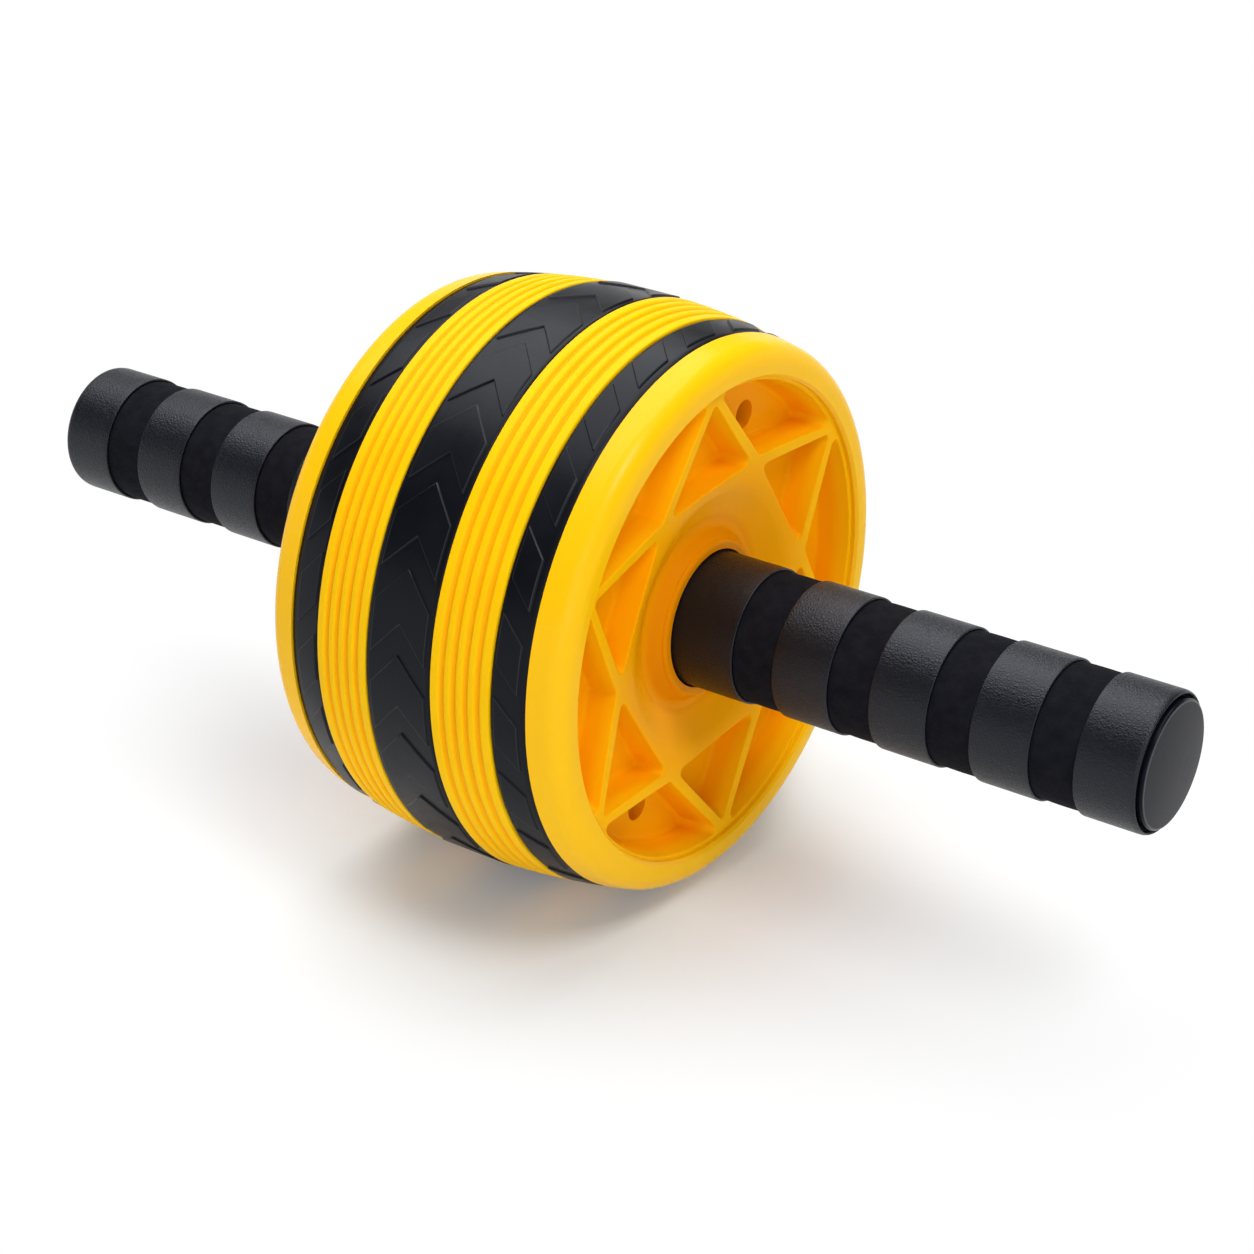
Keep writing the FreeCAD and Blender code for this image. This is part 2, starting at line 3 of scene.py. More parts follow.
import bmesh
import bpy
import numpy as np
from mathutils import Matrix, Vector


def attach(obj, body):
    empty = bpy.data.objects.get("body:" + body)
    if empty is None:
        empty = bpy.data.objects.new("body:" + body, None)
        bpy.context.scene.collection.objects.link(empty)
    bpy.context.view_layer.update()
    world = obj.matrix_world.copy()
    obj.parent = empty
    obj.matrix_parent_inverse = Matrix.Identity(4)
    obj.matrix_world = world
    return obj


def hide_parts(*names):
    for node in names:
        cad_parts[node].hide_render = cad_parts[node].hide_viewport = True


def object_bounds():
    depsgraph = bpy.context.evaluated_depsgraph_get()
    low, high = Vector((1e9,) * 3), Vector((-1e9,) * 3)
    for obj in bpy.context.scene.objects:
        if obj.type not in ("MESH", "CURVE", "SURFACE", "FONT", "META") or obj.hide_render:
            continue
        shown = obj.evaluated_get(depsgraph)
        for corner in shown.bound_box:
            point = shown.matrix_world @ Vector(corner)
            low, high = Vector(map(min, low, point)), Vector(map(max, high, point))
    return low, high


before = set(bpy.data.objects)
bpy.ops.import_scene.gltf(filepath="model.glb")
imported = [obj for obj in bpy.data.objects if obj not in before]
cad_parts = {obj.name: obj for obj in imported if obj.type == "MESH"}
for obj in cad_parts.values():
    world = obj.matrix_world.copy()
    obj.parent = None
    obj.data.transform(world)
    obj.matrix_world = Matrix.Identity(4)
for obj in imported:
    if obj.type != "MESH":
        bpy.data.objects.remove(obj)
cad_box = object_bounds()

# Axle tube and bearing spacer
# A drawn steel tube, 25 mm across, runs right through the wheel and both grips and carries them. Its ends are
# bevelled and it is grooved for the retaining rings. A steel sleeve slides on between the two bearings.

mm = 0.001
even = (1.0, 1.0, 1.0)
along_the_axle = (80.0, 1.0, 1.0)
blob_start = 0.35
blob_end = 0.65
fine_detail = 2.0
first_colour = 6
second_colour = 7
mixed_colour = 2
steel_stain_size = 9.0 * mm
steel_dull_share = 0.72
steel_smooth_share = 0.6
steel_line_depth = 0.01 * mm
tube_grey = (0.60, 0.61, 0.63)
tube_roughness = 0.38
tube_line_size = 0.25 * mm


def new_finish(name):
    """Node material with one Principled shader, given back with its node tree and the shader."""
    finish = bpy.data.materials.new(name)
    finish.use_nodes = True
    tree = finish.node_tree
    return finish, tree, tree.nodes["Principled BSDF"]


def noise(tree, size, detail=3.0, stretch=even):
    """Noise on Object coordinates with blobs of a given size in metres, drawn out along each axis."""
    place = tree.nodes.new("ShaderNodeTexCoord")
    spread = tree.nodes.new("ShaderNodeMapping")
    spread.inputs["Scale"].default_value = [1.0 / (size * times) for times in stretch]
    texture = tree.nodes.new("ShaderNodeTexNoise")
    texture.inputs["Scale"].default_value = 1.0
    texture.inputs["Detail"].default_value = detail
    tree.links.new(place.outputs["Object"], spread.inputs["Vector"])
    tree.links.new(spread.outputs["Vector"], texture.inputs["Vector"])
    return texture.outputs["Fac"]


def between(tree, value, low, high, start=blob_start, end=blob_end):
    """A number that goes straight from low to high as a value goes from start to end, and no further."""
    node = tree.nodes.new("ShaderNodeMapRange")
    for socket, number in (("From Min", start), ("From Max", end), ("To Min", low), ("To Max", high)):
        node.inputs[socket].default_value = number
    tree.links.new(value, node.inputs["Value"])
    return node.outputs["Result"]


def blended(tree, value, first, second):
    """Colour that goes from the first to the second as a value goes from 0 to 1."""
    node = tree.nodes.new("ShaderNodeMix")
    node.data_type = "RGBA"
    tree.links.new(value, node.inputs["Factor"])
    for socket, colour in ((node.inputs[first_colour], first), (node.inputs[second_colour], second)):
        if isinstance(colour, bpy.types.NodeSocket):
            tree.links.new(colour, socket)
        else:
            socket.default_value = (*colour, 1.0)
    return node.outputs[mixed_colour]


def sum_of(tree, first, second):
    """Two values added together."""
    node = tree.nodes.new("ShaderNodeMath")
    tree.links.new(first, node.inputs[0])
    tree.links.new(second, node.inputs[1])
    return node.outputs[0]


def relief(tree, shader, height, depth):
    """Bump of a given depth in metres on a shader."""
    node = tree.nodes.new("ShaderNodeBump")
    node.inputs["Distance"].default_value = depth
    tree.links.new(height, node.inputs["Height"])
    tree.links.new(node.outputs["Normal"], shader.inputs["Normal"])


def steel(name, colour, roughest, line_size, stretch=even):
    """Bright metal whose fine lines run the way it was drawn or ground, with a faint stain."""
    finish, tree, shader = new_finish(name)
    lines = noise(tree, line_size, fine_detail, stretch)
    stain_and_groove_shade = between(tree, noise(tree, steel_stain_size), 0.0, 1.0)
    dull = [steel_dull_share * channel for channel in colour]
    tree.links.new(blended(tree, stain_and_groove_shade, colour, dull), shader.inputs["Base Color"])
    smoothest = steel_smooth_share * roughest
    tree.links.new(between(tree, lines, smoothest, roughest), shader.inputs["Roughness"])
    relief(tree, shader, lines, steel_line_depth)
    shader.inputs["Metallic"].default_value = 1.0
    return finish


def dress(names, finish):
    """Gives CAD nodes a finish."""
    for name in names:
        for material_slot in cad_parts[name].material_slots:
            material_slot.material = finish


drawn_steel = steel("drawn_steel", tube_grey, tube_roughness, tube_line_size, along_the_axle)
dress(["axle_tube", "bearing_spacer"], drawn_steel)

# Bearings and retaining rings
# Two deep-groove ball bearings of ground steel with moulded nylon cages, pressed into the hub.
# Spring-steel rings in the axle's grooves keep them in place.

ground_grey = (0.66, 0.67, 0.69)
ground_roughness = 0.22
ground_line_size = 0.2 * mm
spring_grey = (0.16, 0.16, 0.17)
spring_roughness = 0.45
spring_line_size = 0.3 * mm
nylon_cream = (0.68, 0.64, 0.50)
nylon_shade = (0.60, 0.55, 0.41)
nylon_smoothest = 0.4
nylon_roughest = 0.55
nylon_mottle_size = 2.0 * mm
nylon_grain_size = 0.5 * mm
nylon_grain_depth = 0.02 * mm


def both(name):
    """Names of a pair of like nodes, one on each side."""
    return [name + "_right", name + "_left"]


def moulded_nylon():
    """Cream nylon with a faint mottle."""
    finish, tree, shader = new_finish("moulded_nylon")
    mottle = between(tree, noise(tree, nylon_mottle_size), 0.0, 1.0)
    tree.links.new(blended(tree, mottle, nylon_cream, nylon_shade), shader.inputs["Base Color"])
    tree.links.new(between(tree, mottle, nylon_smoothest, nylon_roughest), shader.inputs["Roughness"])
    relief(tree, shader, noise(tree, nylon_grain_size), nylon_grain_depth)
    return finish


ground_steel = steel("ground_steel", ground_grey, ground_roughness, ground_line_size)
spring_steel = steel("spring_steel", spring_grey, spring_roughness, spring_line_size)
dress(both("inner_race") + both("outer_race") + both("bearing_balls"), ground_steel)
dress(both("ball_cage"), moulded_nylon())
dress(both("circlip"), spring_steel)

# Wheel halves
# Two injection-moulded shells in yellow plastic: rim, star of ribs over drafted pockets, hub and collar.
# They meet under the centre tread and are drawn together by six screws; only the rim is polished.

plastic_yellow = (0.97, 0.535, 0.003)
# Amber in the dish and deeper amber at the hub are painted shade; the lighter amber on the rib crests is
# painted light.
dish_shade_amber = (0.95, 0.385, 0.0004)
crest_light_amber = (0.98, 0.480, 0.002)
hub_shade_amber = (0.74, 0.240, 0.0002)
hub_radius = 24.0 * mm
hub_reach = 5.0 * mm
rib_foot = 41.0 * mm
rib_crest = 44.0 * mm
rib_start = 40.0 * mm
rib_run = 10.0 * mm
dish_radius = 66.0 * mm
rim_lip = 4.0 * mm
rim_edge = dish_radius + rim_lip / 2
flow_mark_size = 28.0 * mm
plastic_smoothest = 0.26
plastic_roughest = 0.32
scuff_size = 1.6 * mm
scuff_detail = 6.0
scuff_stretch = (1.0, 1.0, 5.0)
scuff_start = 0.62
scuff_end = 0.74
scuff_roughness = 0.1
plastic_grain_size = 0.45 * mm
plastic_grain_depth = 0.012 * mm
plastic_gloss = 0.015
dish_polish = 0.0
rim_polish = 0.24
polish_roughness = 0.25


def from_axle(tree):
    """Distance of a point from the axle's line."""
    place = tree.nodes.new("ShaderNodeTexCoord")
    flatten = tree.nodes.new("ShaderNodeMapping")
    flatten.inputs["Scale"].default_value = (0.0, 1.0, 1.0)
    reach = tree.nodes.new("ShaderNodeVectorMath")
    reach.operation = "LENGTH"
    tree.links.new(place.outputs["Object"], flatten.inputs["Vector"])
    tree.links.new(flatten.outputs["Vector"], reach.inputs[0])
    return reach.outputs["Value"]


def from_middle(tree):
    """Distance of a point from the plane between the two halves."""
    place = tree.nodes.new("ShaderNodeTexCoord")
    split = tree.nodes.new("ShaderNodeSeparateXYZ")
    size = tree.nodes.new("ShaderNodeMath")
    size.operation = "ABSOLUTE"
    tree.links.new(place.outputs["Object"], split.inputs[0])
    tree.links.new(split.outputs["X"], size.inputs[0])
    return size.outputs[0]


def yellow_plastic(name, polish):
    """Yellow plastic with a fine grain, and flow marks and scuffs that dull it.

    The rim is yellow. The dish is painted amber as shade in its recess, with painted light on the crests of
    its ribs and deeper painted shade at the hub, each chosen by a point's distance from the axle or from the
    middle plane.
    """
    finish, tree, shader = new_finish(name)
    flow = between(tree, noise(tree, flow_mark_size, fine_detail), 0.0, 1.0)
    reach = from_axle(tree)
    # Painted shade: the dish is amber and the hub deeper amber by distance from the axle; painted light makes
    # the rib crests lighter towards the rim's face and outwards.
    depth = between(tree, reach, 1.0, 0.0, dish_radius, dish_radius + rim_lip)
    hub_shade_share = between(tree, reach, 1.0, 0.0, hub_radius, hub_radius + hub_reach)
    crest_light_share = between(tree, from_middle(tree), 0.0, 1.0, rib_foot, rib_crest)
    outward_light_share = between(tree, reach, 0.0, 1.0, rib_start, rib_start + rib_run)
    pocket_shade_colour = blended(tree, crest_light_share, dish_shade_amber, blended(tree, outward_light_share, dish_shade_amber, crest_light_amber))
    dish_shade_colour = blended(tree, hub_shade_share, pocket_shade_colour, hub_shade_amber)
    tree.links.new(blended(tree, depth, plastic_yellow, dish_shade_colour), shader.inputs["Base Color"])
    marks = noise(tree, scuff_size, scuff_detail, scuff_stretch)
    scuffs = between(tree, marks, 0.0, scuff_roughness, scuff_start, scuff_end)
    worn = sum_of(tree, between(tree, flow, plastic_smoothest, plastic_roughest), scuffs)
    tree.links.new(worn, shader.inputs["Roughness"])
    relief(tree, shader, noise(tree, plastic_grain_size, fine_detail), plastic_grain_depth)
    shader.inputs["Specular IOR Level"].default_value = plastic_gloss
    shader.inputs["Coat Weight"].default_value = polish
    shader.inputs["Coat Roughness"].default_value = polish_roughness
    return finish


def polish_rim(name, finish):
    """Gives a second finish to the faces whose middles lie further from the axle than the rim's edge."""
    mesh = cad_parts[name].data
    mesh.materials.append(finish)
    middles = np.empty(len(mesh.polygons) * 3)
    mesh.polygons.foreach_get("center", middles)
    reach = np.linalg.norm(middles.reshape(-1, 3)[:, 1:], axis=1)
    second_finish = len(mesh.materials) - 1
    mesh.polygons.foreach_set("material_index", ((reach > rim_edge) * second_finish).astype(np.int32))


dress(both("wheel_half"), yellow_plastic("matte_yellow_plastic", dish_polish))
rim_yellow = yellow_plastic("polished_yellow_plastic", rim_polish)
for half in both("wheel_half"):
    polish_rim(half, rim_yellow)

# Shell screws
# Six socket-head screws of blackened steel at the foot of the wells in the right half.
# They are driven into the bosses of the left half.

screw_black = (0.05, 0.05, 0.055)
screw_roughness = 0.5
screw_line_size = 0.3 * mm

dress(["shell_screws"], steel("blackened_steel", screw_black, screw_roughness, screw_line_size))

# Centre tread
# A moulded black rubber ring bonded round the seam, with raised chevron pads that point up the front.
# The pads stand on a thinner base that shows between them and along both edges.

wheel_radius = 82.0 * mm
crown_arc_radius = 200.0 * mm
centre_half_width = 10.6 * mm
tread_thickness = 3.15 * mm
edge_bevel = 0.5 * mm
pads_per_turn = 22
pad_relief = 0.5 * mm
pad_wall = 0.3 * mm
pad_edge_round = 0.2 * mm
pad_top_rows = 9
pad_gap_rows = 6
pad_inner_columns = 9
under_columns = 3
same_angle = 1e-6
angle_decimals = 9
chevron_pad_share = 0.615
chevron_half_width = 8.7 * mm
chevron_lean = 1.103
chevron_turn = math.radians(7.3)
rubber_black = (0.0023, 0.0026, 0.0048)
rubber_bloom = (0.0036, 0.0040, 0.0065)
worn_and_highlight_grey = (0.026, 0.026, 0.030)
foot_shade_black = (0.0012, 0.0012, 0.0016)
faint_line = 0.1
bloom_size = 14.0 * mm
bloom_detail = 4.0
rubber_smoothest = 0.30
rubber_roughest = 0.40
rubber_fine_grain = 0.3 * mm
rubber_coarse_grain = 1.1 * mm
rubber_grain_depth = 0.02 * mm
rubber_gloss = 0.17
cool_shine = (0.86, 0.90, 1.0, 1.0)


def crown(offset):
    """Radius of the barrel at an offset along the axle: an arc across the wheel's width."""
    return wheel_radius - crown_arc_radius + np.sqrt(crown_arc_radius ** 2 - np.square(offset))


def round_the_axle(offsets, radii, angles):
    """Points at offsets along the axle, at radii from it and at angles from the front upwards."""
    shape = np.broadcast_shapes(np.shape(offsets), np.shape(radii), np.shape(angles))
    points = np.empty(shape + (3,))
    points[..., 0] = offsets
    points[..., 1] = -radii * np.cos(angles)
    points[..., 2] = radii * np.sin(angles)
    return points


def grid_mesh(name, points, closed_columns=True):
    """Quads on a grid of points whose rows run once round the axle and whose columns may close too."""
    rows, columns = points.shape[:2]
    row = np.arange(rows)[:, None] * columns
    column = np.arange(columns if closed_columns else columns - 1)[None, :]
    next_row = np.roll(row, -1, axis=0)
    next_column = (column + 1) % columns
    corners = [row + column, row + next_column, next_row + next_column, next_row + column]
    faces = np.stack(corners, axis=-1).reshape(-1, 4)
    mesh = bpy.data.meshes.new(name)
    mesh.vertices.add(rows * columns)
    mesh.vertices.foreach_set("co", points.ravel())
    mesh.loops.add(faces.size)
    mesh.loops.foreach_set("vertex_index", faces.ravel())
    mesh.polygons.add(len(faces))
    mesh.polygons.foreach_set("loop_start", np.arange(0, faces.size, 4))
    mesh.update(calc_edges=True)
    mesh.shade_smooth()
    return mesh


def marked_mesh(name, points, mark, values):
    """Grid mesh that carries a mark with a value at each point."""
    mesh = grid_mesh(name, points)
    layer = mesh.attributes.new(mark, "FLOAT", "POINT")
    layer.data.foreach_set("value", values.ravel())
    return mesh


def add_piece(mesh, finish, body, slot, *nodes):
    """Object for a mesh that rides on a body and stands for CAD nodes."""
    piece = bpy.data.objects.new(mesh.name, mesh)
    mesh.materials.append(finish)
    bpy.context.scene.collection.objects.link(piece)
    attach(piece, body)
    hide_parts(*nodes)
    return piece


def at(angles, place):
    """True for the angles that lie at a place, but for rounding."""
    return np.isclose(angles, place, atol=same_angle)


def pad_rows(pad_share, row_turn):
    """Angles of the rows round the wheel, each row's share of the pad's height and its line.

    Each pitch has a wall up, the pad's top and a wall down, with a close row on both sides of each wall.
    A row's line is 1 on a pad's edge, -1 along its foot and 0 elsewhere.
    """
    pitch = 2 * math.pi / pads_per_turn
    wall = pad_wall / wheel_radius
    close = pad_edge_round / wheel_radius
    pad = pad_share * pitch
    top = np.linspace(-pad + wall + close, -wall - close, pad_top_rows)
    gap = np.linspace(-pitch + wall + close, -pad - wall - close, pad_gap_rows)
    angles = np.concatenate([gap, [-pad - wall, -pad], [-pad + close], top, [-close, 0.0, wall]])
    angles = np.unique(np.round(angles, angle_decimals))
    heights = np.clip(np.minimum((angles + pad + wall) / wall, (wall - angles) / wall), 0.0, 1.0)
    edge = at(angles, 0.0) | at(angles, -pad)
    foot = at(angles, wall) | at(angles, -pad - wall)
    starts = np.arange(pads_per_turn)[:, None] * pitch + row_turn
    repeats = (pads_per_turn, 1)
    lines = np.tile(np.select([edge, foot], [1, -1]), repeats)
    return (starts + angles).ravel(), np.tile(heights, repeats).ravel(), lines.ravel()


def pad_columns(low, high):
    """Offsets across a band of pads, with each column's share of the height and its line.

    A foot, an edge and a close column stand on both sides of the pads' even inner columns.
    """
    inner = np.linspace(low + pad_edge_round, high - pad_edge_round, pad_inner_columns)
    left = [low - pad_wall - pad_edge_round, low - pad_wall, low]
    right = [high, high + pad_wall, high + pad_wall + pad_edge_round]
    offsets = np.concatenate([left, inner, right])
    heights = np.ones(len(offsets))
    heights[:2] = 0.0
    heights[-2:] = 0.0
    lines = np.zeros(len(offsets))
    lines[[2, -3]] = 1
    lines[[1, -2]] = -1
    return offsets, heights, lines


def tread_grid(start, end, pads, rows, lean, top_radius):
    """Closed ring of tread: low margins, padded middle, bevelled edges, side walls and bonded inner face.

    A point's radius is the top radius less the relief, plus the relief times its row's and its column's
    share of the pad's height. Lean shifts each column round the wheel, so that rows follow the pads' edges.
    """
    offsets, heights, lines = pads
    left = np.array([start, start, start + edge_bevel])
    right = np.array([end - edge_bevel, end, end])
    under = np.linspace(end, start, under_columns + 2)[1:-1]
    across = np.concatenate([left, offsets, right, under])
    height = np.concatenate([0 * left, heights, 0 * right, 0 * under])
    line = np.concatenate([0 * left, lines, 0 * right, 0 * under])
    last_margin = len(left) + len(offsets)
    bevels = [1, last_margin + 1]
    walls = [0, last_margin + 2]
    low = top_radius(across) - pad_relief
    low[bevels] -= edge_bevel
    low[walls] = crown(across[walls]) - tread_thickness
    low[-under_columns:] = crown(under) - tread_thickness
    angles, row_height, row_line = (values[:, None] for values in rows)
    radii = low + pad_relief * row_height * height
    points = round_the_axle(across, radii, angles - lean(across) / wheel_radius)
    # The edge mark carries rubbing wear and painted highlight along the pads' edges; the foot mark carries
    # painted shade along their feet.
    edge = (row_line > 0) & (height > 0) | (row_height > 0) & (line > 0)
    on_pad_column = height + np.abs(line) > 0
    on_pad_row = row_height + np.abs(row_line) > 0
    foot = (row_line < 0) & on_pad_column | on_pad_row & (line < 0)
    return points, edge * 1.0 - foot


def mark_value(tree, mark):
    """A mark's value at a point."""
    node = tree.nodes.new("ShaderNodeAttribute")
    node.attribute_name = mark
    return node.outputs["Fac"]


def black_rubber():
    """Satin black rubber: moulded grain, faint bloom, pad edges lightened by rubbing wear and painted
    highlight, and painted shade in dark lines along their feet.
    """
    finish, tree, shader = new_finish("black_rubber")
    line = mark_value(tree, "pad_line")
    bloom = between(tree, noise(tree, bloom_size, bloom_detail), 0.0, 1.0)
    plain = blended(tree, bloom, rubber_black, rubber_bloom)
    # Pad edges are lightened by rubbing wear and painted highlight; the feet are darkened with painted shade.
    edge = between(tree, line, 0.0, 1.0, faint_line, 1.0)
    foot = between(tree, line, 1.0, 0.0, -1.0, -faint_line)
    lined = blended(tree, foot, blended(tree, edge, plain, worn_and_highlight_grey), foot_shade_black)
    tree.links.new(lined, shader.inputs["Base Color"])
    satin = between(tree, bloom, rubber_smoothest, rubber_roughest, 0.0, 1.0)
    tree.links.new(satin, shader.inputs["Roughness"])
    fine_grain = noise(tree, rubber_fine_grain, fine_detail)
    coarse_grain = noise(tree, rubber_coarse_grain, fine_detail)
    relief(tree, shader, sum_of(tree, fine_grain, coarse_grain), rubber_grain_depth)
    shader.inputs["Specular IOR Level"].default_value = rubber_gloss
    shader.inputs["Specular Tint"].default_value = cool_shine
    return finish


def chevron_shift(offset):
    """Shift of a chevron round the wheel: its lean times the distance from the middle."""
    return chevron_lean * np.abs(offset)


def flat_top(offset):
    """Radius of the centre tread's pads, which are flat across."""
    return np.full_like(offset, wheel_radius)


rubber = black_rubber()
chevron_rows = pad_rows(chevron_pad_share, chevron_turn)
chevron_columns = pad_columns(-chevron_half_width, chevron_half_width)
chevron_points, chevron_lines = tread_grid(
    -centre_half_width, centre_half_width, chevron_columns, chevron_rows, chevron_shift, flat_top)
chevron_mesh = marked_mesh("centre_tread_rubber", chevron_points, "pad_line", chevron_lines)
add_piece(chevron_mesh, rubber, "wheel", "tread_rubber", "centre_tread")

# Ribbed bands
# Two soft yellow bands beside the centre tread, each with five rounded ribs that run round the wheel.
# They are moulded over the drum, flush with the treads.

band_start = 10.6 * mm
band_end = 28.5 * mm
band_seam = 0.12 * mm
band_edge_round = 0.4 * mm
band_columns = 121
band_under_columns = 6
round_segments = 264
rib_count = 5
rib_groove_depth = 0.8 * mm
band_yellow = (0.97, 0.570, 0.003)
band_amber = (0.97, 0.540, 0.002)
# The groove amber is painted shade in the grooves between the ribs.
groove_shade_amber = (0.94, 0.400, 0.001)
groove_shade_share = 0.9
groove_shade_start = 0.15
groove_shade_end = 0.8
warmth_size = 16.0 * mm
band_smoothest = 0.36
band_roughest = 0.44
band_grain_size = 0.4 * mm
band_grain_depth = 0.015 * mm
band_gloss = 0.04


def full_turn(segments):
    """Equal angles once round the axle, as a column."""
    return np.linspace(0.0, 2 * math.pi, segments, endpoint=False)[:, None]


def mirrored(points):
    """The same grid for the left side, with its columns turned round so that it still faces outwards."""
    return points[:, ::-1] * np.array([-1.0, 1.0, 1.0])


def rounded_shoulders(distance, reach):
    """Drop of an edge that is rounded off: a quarter circle over the reach, none further in."""
    inside = np.clip(distance / reach, 0.0, 1.0)
    return reach * (1.0 - np.sqrt(1.0 - np.square(1.0 - inside)))


def ribbed_section():
    """Offsets, radii and groove marks across a band.

    The radius is the crown, less a squared cosine at each groove, less a round at both edges.
    """
    low = band_start + band_seam
    high = band_end - band_seam
    offsets = np.linspace(low, high, band_columns)
    ribs = (offsets - band_start) / (band_end - band_start) * rib_count
    inner_grooves = np.abs(ribs - rib_count / 2) < rib_count / 2 - 0.5
    groove = np.square(0.5 + 0.5 * np.cos(2 * math.pi * ribs)) * inner_grooves
    drop = rib_groove_depth * groove
    drop += rounded_shoulders(np.minimum(offsets - low, high - offsets), band_edge_round)
    under = np.linspace(high, low, band_under_columns)
    across = np.concatenate([offsets, under])
    radii = np.concatenate([crown(offsets) - drop, crown(under) - tread_thickness])
    return across, radii, np.concatenate([groove, 0 * under])


def yellow_rubber():
    """Soft satin yellow, a little warmer at random in places, darker amber as painted shade in the grooves,
    with a fine grain.
    """
    finish, tree, shader = new_finish("yellow_rubber")
    warmth = between(tree, noise(tree, warmth_size), 0.0, 1.0)
    face = blended(tree, warmth, band_yellow, band_amber)
    mark = mark_value(tree, "groove")
    # Painted shade: the grooves are darkened towards amber.
    stain_and_groove_shade = between(tree, mark, 0.0, groove_shade_share, groove_shade_start, groove_shade_end)
    tree.links.new(blended(tree, stain_and_groove_shade, face, groove_shade_amber), shader.inputs["Base Color"])
    satin = between(tree, warmth, band_smoothest, band_roughest, 0.0, 1.0)
    tree.links.new(satin, shader.inputs["Roughness"])
    relief(tree, shader, noise(tree, band_grain_size, fine_detail), band_grain_depth)
    shader.inputs["Specular IOR Level"].default_value = band_gloss
    return finish


soft_yellow = yellow_rubber()
band_offsets, band_radii, band_grooves = ribbed_section()
band_points = round_the_axle(band_offsets, band_radii, full_turn(round_segments))
groove_marks = np.tile(band_grooves, (round_segments, 1))
band_sides = (("right", band_points, groove_marks), ("left", mirrored(band_points), groove_marks[:, ::-1]))
for side, points, marks in band_sides:
    band_mesh = marked_mesh("ribbed_band_rubber_" + side, points, "groove", marks)
    add_piece(band_mesh, soft_yellow, "wheel", "band_rubber", "ribbed_band_" + side)

# Outer treads
# Narrow rings of the same black rubber, bonded beside the rims.
# Their slanted pads lean the way the chevrons do.

outer_start = 28.5 * mm
outer_end = 38.9 * mm
slant_start = 29.8 * mm
slant_end = 36.2 * mm
slant_pad_share = 0.592
slant_lean = 1.125
slant_turn = math.radians(37.6)


def slant_shift(offset):
    """Shift of a slanted pad round the wheel: its lean times the distance from the pads' inner edge."""
    return slant_lean * (offset - slant_start)


slant_rows = pad_rows(slant_pad_share, slant_turn)
slant_columns = pad_columns(slant_start, slant_end)
slant_points, slant_lines = tread_grid(outer_start, outer_end, slant_columns, slant_rows, slant_shift, crown)
outer_sides = (("right", slant_points, slant_lines), ("left", mirrored(slant_points), slant_lines[:, ::-1]))
for side, points, lines in outer_sides:
    slant_mesh = marked_mesh("outer_tread_rubber_" + side, points, "pad_line", lines)
    add_piece(slant_mesh, rubber, "wheel", "tread_rubber", "outer_tread_" + side)

# Foam sleeves
# Closed-cell foam tubes pushed over the axle; they show as matte black bands between the raised rings.
# The foam swells a little between the rings that squeeze it.

axle_fit_radius = 12.55 * mm
sleeve_start = 33.2 * mm
sleeve_end = 179.0 * mm
sleeve_radius = 18.2 * mm
sleeve_columns = 245
sleeve_bore_columns = 12
grip_segments = 160
foam_swell = 0.12 * mm
foam_end_round = 0.8 * mm
ring_count = 5
ring_width = 16.9 * mm
ring_pitch = 29.4 * mm
first_ring_end = 62.4 * mm
foam_black = (0.0044, 0.0047, 0.0078)
foam_nap = (0.0076, 0.0080, 0.0118)
nap_size = 3.5 * mm
pore_size = 0.55 * mm
pore_detail = 4.0
pore_depth = 0.15 * mm
foam_smoothest = 0.86
foam_roughest = 1.0
foam_gloss = 0.10


def foam_section():
    """Offsets and radii of a sleeve: straight under the rings, a sine swell between them, round ends."""
    offsets = np.linspace(sleeve_start, sleeve_end, sleeve_columns)
    phase = (offsets - first_ring_end) / ring_pitch
    place = (phase - np.floor(phase)) * ring_pitch / (ring_pitch - ring_width)
    between_rings = (phase > 0) & (phase < ring_count - 1) & (place < 1)
    swell = foam_swell * np.sin(math.pi * np.clip(place, 0.0, 1.0)) * between_rings
    drop = rounded_shoulders(np.minimum(offsets - sleeve_start, sleeve_end - offsets), foam_end_round)
    bore = np.linspace(sleeve_end, sleeve_start, sleeve_bore_columns)
    across = np.concatenate([offsets, bore])
    return across, np.concatenate([sleeve_radius + swell - drop, np.full_like(bore, axle_fit_radius)])


def black_foam():
    """Matte black foam: fine pores on its skin, a soft nap and hardly any gloss."""
    finish, tree, shader = new_finish("black_foam")
    pores = noise(tree, pore_size, pore_detail)
    nap = between(tree, noise(tree, nap_size), 0.0, 1.0)
    tree.links.new(blended(tree, nap, foam_black, foam_nap), shader.inputs["Base Color"])
    tree.links.new(between(tree, pores, foam_smoothest, foam_roughest), shader.inputs["Roughness"])
    relief(tree, shader, pores, pore_depth)
    shader.inputs["Specular IOR Level"].default_value = foam_gloss
    return finish


foam = black_foam()
foam_points = round_the_axle(*foam_section(), full_turn(grip_segments))
for side, points in (("right", foam_points), ("left", mirrored(foam_points))):
    sleeve_mesh = grid_mesh("foam_sleeve_" + side, points)
    sleeve = add_piece(sleeve_mesh, foam, "handlebar", "grip_foam", "grip_sleeve_" + side)

# Grip rings
# Raised rings with a pebbled leather grain, bonded over each sleeve; the first runs on into the collar
# and the last is rounded off towards the end cap.

